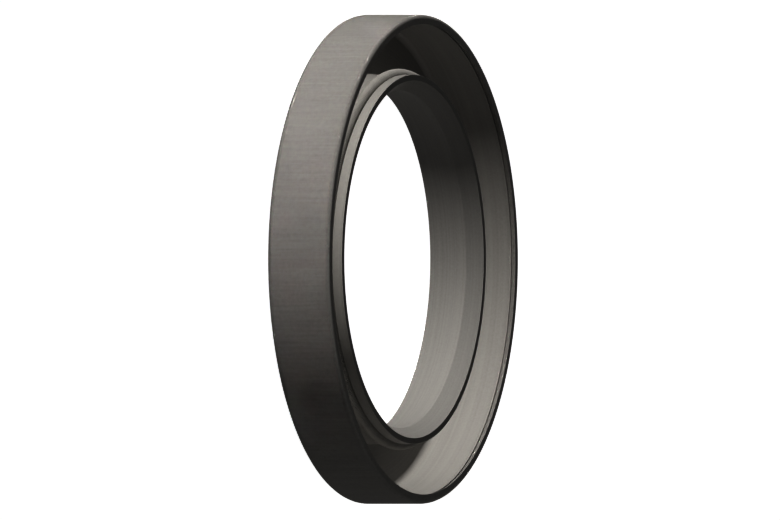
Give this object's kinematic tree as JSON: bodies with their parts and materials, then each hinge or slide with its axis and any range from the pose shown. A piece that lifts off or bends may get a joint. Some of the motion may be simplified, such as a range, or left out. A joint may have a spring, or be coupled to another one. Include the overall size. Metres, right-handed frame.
{
  "type": "grease seal",
  "caption": "Round metal-cased grease seal: a pressed steel ring lined with rubber, whose sprung lip runs on a shaft and keeps grease in a hub.",
  "frame": {"origin": "centre of the back face, which the seal lies on", "axes": "+Z along the shaft, from the back face towards the open side that faces the grease; X and Y are free, because the seal is round"},
  "size_m": [0.072, 0.072, 0.01],
  "materials": {
    "case_steel": "phosphated, matt warm grey",
    "nitrile_rubber": "moulded, matt warm grey",
    "spring_wire": "drawn wire, satin grey"
  },
  "bodies": {
    "root": {"steel_case": "case_steel", "rubber_lip": "nitrile_rubber", "garter_spring": "spring_wire"}
  },
  "joints": []
}
